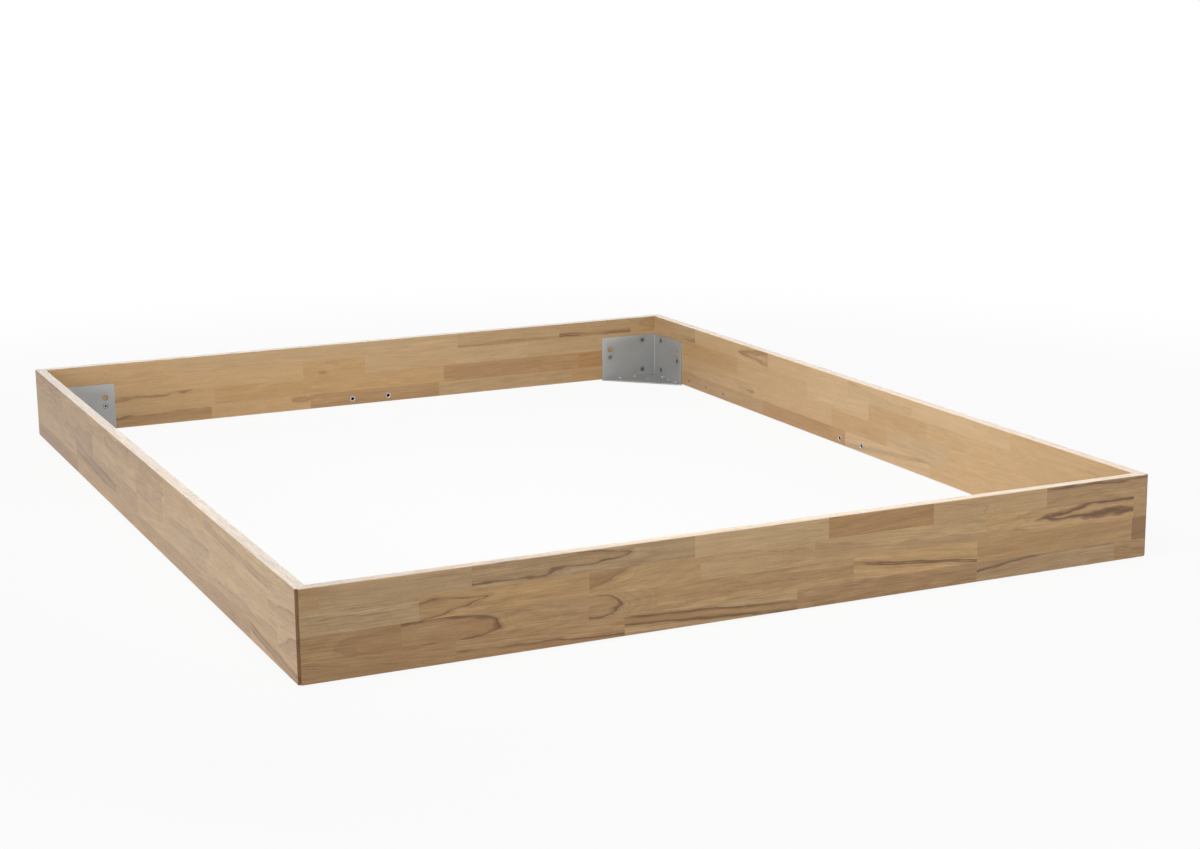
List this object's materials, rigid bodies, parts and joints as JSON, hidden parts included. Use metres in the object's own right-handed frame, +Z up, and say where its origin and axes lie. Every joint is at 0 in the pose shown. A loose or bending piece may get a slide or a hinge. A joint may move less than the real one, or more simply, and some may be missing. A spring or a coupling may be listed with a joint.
{
  "type": "bed frame",
  "caption": "Low rectangular bed frame of mitred stave-glued boards, held inside its corners by steel angles welded to base plates, with threaded sleeves for a beam.",
  "frame": {"origin": "on the floor below the middle of the frame", "axes": "+X across the bed to the right side seen from the foot, +Y from the foot board to the head board, +Z up"},
  "size_m": [1.68, 2.08, 0.163],
  "materials": {
    "heart_beech": "oiled, stave-glued heart beech",
    "coated_steel": "satin silver-grey coat",
    "zinc_plated_steel": "bright zinc plating"
  },
  "bodies": {
    "root": {"foot_board": "heart_beech", "head_board": "heart_beech", "left_side_rail": "heart_beech", "right_side_rail": "heart_beech", "corner_angle_front_left": "coated_steel", "base_plate_front_left": "coated_steel", "weld_beads_front_left": "coated_steel", "angle_screws_front_left": "zinc_plated_steel", "screw_sleeves_front_left": "zinc_plated_steel", "corner_angle_front_right": "coated_steel", "base_plate_front_right": "coated_steel", "weld_beads_front_right": "coated_steel", "angle_screws_front_right": "zinc_plated_steel", "screw_sleeves_front_right": "zinc_plated_steel", "corner_angle_back_left": "coated_steel", "base_plate_back_left": "coated_steel", "weld_beads_back_left": "coated_steel", "angle_screws_back_left": "zinc_plated_steel", "screw_sleeves_back_left": "zinc_plated_steel", "corner_angle_back_right": "coated_steel", "base_plate_back_right": "coated_steel", "weld_beads_back_right": "coated_steel", "angle_screws_back_right": "zinc_plated_steel", "screw_sleeves_back_right": "zinc_plated_steel", "beam_sleeves_foot_board": "zinc_plated_steel", "beam_sleeves_head_board": "zinc_plated_steel", "beam_sleeves_left_side_rail": "zinc_plated_steel", "beam_sleeves_right_side_rail": "zinc_plated_steel"}
  },
  "joints": []
}
